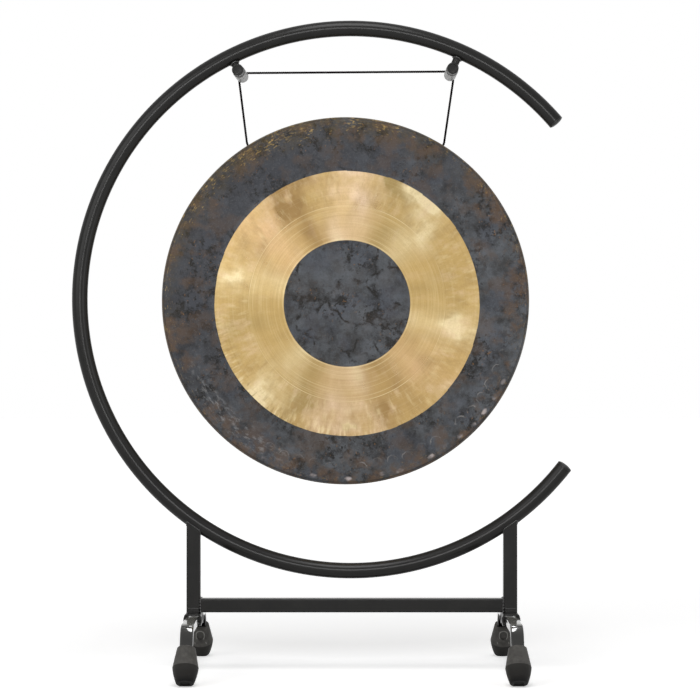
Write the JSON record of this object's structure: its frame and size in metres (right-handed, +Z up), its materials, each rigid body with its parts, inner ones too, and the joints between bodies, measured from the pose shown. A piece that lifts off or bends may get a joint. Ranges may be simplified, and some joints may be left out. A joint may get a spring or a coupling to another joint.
{
  "type": "gong stand",
  "caption": "Free-standing C-shaped tube ring on a low frame with folding legs in rubber boots, holding a flat round gong that swings on a cord over two pegs.",
  "frame": {"origin": "middle of the object's box at floor level, between the four boots' flat soles", "axes": "+X to the right along the crossbar, towards the open side of the ring; +Y to the back, where the pegs and the gong are; +Z up"},
  "size_m": [0.8096, 0.4286, 1.0541],
  "materials": {
    "frame_paint": "black satin powder coat on steel tube",
    "leg_enamel": "glossy black enamel on pressed steel",
    "rivet_black": "blackened steel rivet",
    "boot_rubber": "matte charcoal rubber with a fine grain",
    "cap_plastic": "black moulded plastic",
    "spacer_clear": "milky translucent plastic",
    "gong_bronze": "bronze, lathe-scraped gold band between dark oxide centre and rim",
    "cord_nylon": "dark twisted nylon"
  },
  "bodies": {
    "frame": {"ring_tube": "frame_paint", "ring_cap_upper": "cap_plastic", "ring_cap_lower": "cap_plastic", "crossbar": "frame_paint", "upright_left": "frame_paint", "upright_right": "frame_paint", "leg_bracket_left": "frame_paint", "leg_bracket_right": "frame_paint", "leg_rivet_front_left": "rivet_black", "leg_rivet_rear_left": "rivet_black", "leg_rivet_front_right": "rivet_black", "leg_rivet_rear_right": "rivet_black", "peg_left": "frame_paint", "peg_right": "frame_paint", "peg_cap_left": "cap_plastic", "peg_cap_right": "cap_plastic", "peg_spacer_left": "spacer_clear", "peg_spacer_right": "spacer_clear", "peg_stop_left": "boot_rubber", "peg_stop_right": "boot_rubber", "cord_top": "cord_nylon"},
    "leg_front_left": {"leg_front_left": "leg_enamel", "leg_boot_front_left": "boot_rubber"},
    "leg_rear_left": {"leg_rear_left": "leg_enamel", "leg_boot_rear_left": "boot_rubber"},
    "leg_front_right": {"leg_front_right": "leg_enamel", "leg_boot_front_right": "boot_rubber"},
    "leg_rear_right": {"leg_rear_right": "leg_enamel", "leg_boot_rear_right": "boot_rubber"},
    "gong": {"gong": "gong_bronze", "cord_left": "cord_nylon", "cord_right": "cord_nylon", "cord_knot_left": "cord_nylon", "cord_knot_right": "cord_nylon"}
  },
  "joints": [
    {"name": "gong_swing", "type": "hinge", "parent": "frame", "child": "gong", "pos_m": [0.0385, 0.08, 0.9693], "axis": [1, 0, 0], "range_deg": [-20, 20]},
    {"name": "leg_fold_front_left", "type": "hinge", "parent": "frame", "child": "leg_front_left", "pos_m": [-0.20772, -0.022, 0.084], "axis": [1, 0, 0], "range_deg": [0, 65]},
    {"name": "leg_fold_rear_left", "type": "hinge", "parent": "frame", "child": "leg_rear_left", "pos_m": [-0.20772, 0.022, 0.084], "axis": [-1, 0, 0], "range_deg": [0, 65]},
    {"name": "leg_fold_front_right", "type": "hinge", "parent": "frame", "child": "leg_front_right", "pos_m": [0.30578, -0.022, 0.084], "axis": [1, 0, 0], "range_deg": [0, 65]},
    {"name": "leg_fold_rear_right", "type": "hinge", "parent": "frame", "child": "leg_rear_right", "pos_m": [0.30578, 0.022, 0.084], "axis": [-1, 0, 0], "range_deg": [0, 65]}
  ]
}
